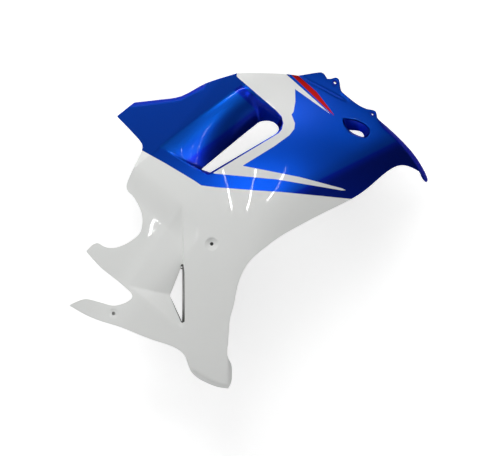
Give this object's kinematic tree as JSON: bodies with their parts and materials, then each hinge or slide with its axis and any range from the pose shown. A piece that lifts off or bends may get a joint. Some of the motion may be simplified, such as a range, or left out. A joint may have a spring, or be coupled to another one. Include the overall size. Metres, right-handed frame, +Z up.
{
  "type": "motorcycle side fairing",
  "caption": "Right-hand side fairing of a motorcycle: one curved moulded skin with an air scoop and outlet slot, a rear gill, a recess for a turn signal, screw seats and fixing tabs.",
  "frame": {"origin": "middle of the main side screw's seat", "axes": "+X to the front of the motorcycle, +Z up, and the outer face looks towards -Y (the right-hand side)"},
  "size_m": [0.725, 0.1531, 0.639],
  "materials": {
    "painted_plastic": "two-tone gloss paint, metallic blue above and white below, with a white and a red stripe"
  },
  "bodies": {
    "root": {"fairing_panel": "painted_plastic"}
  },
  "joints": []
}
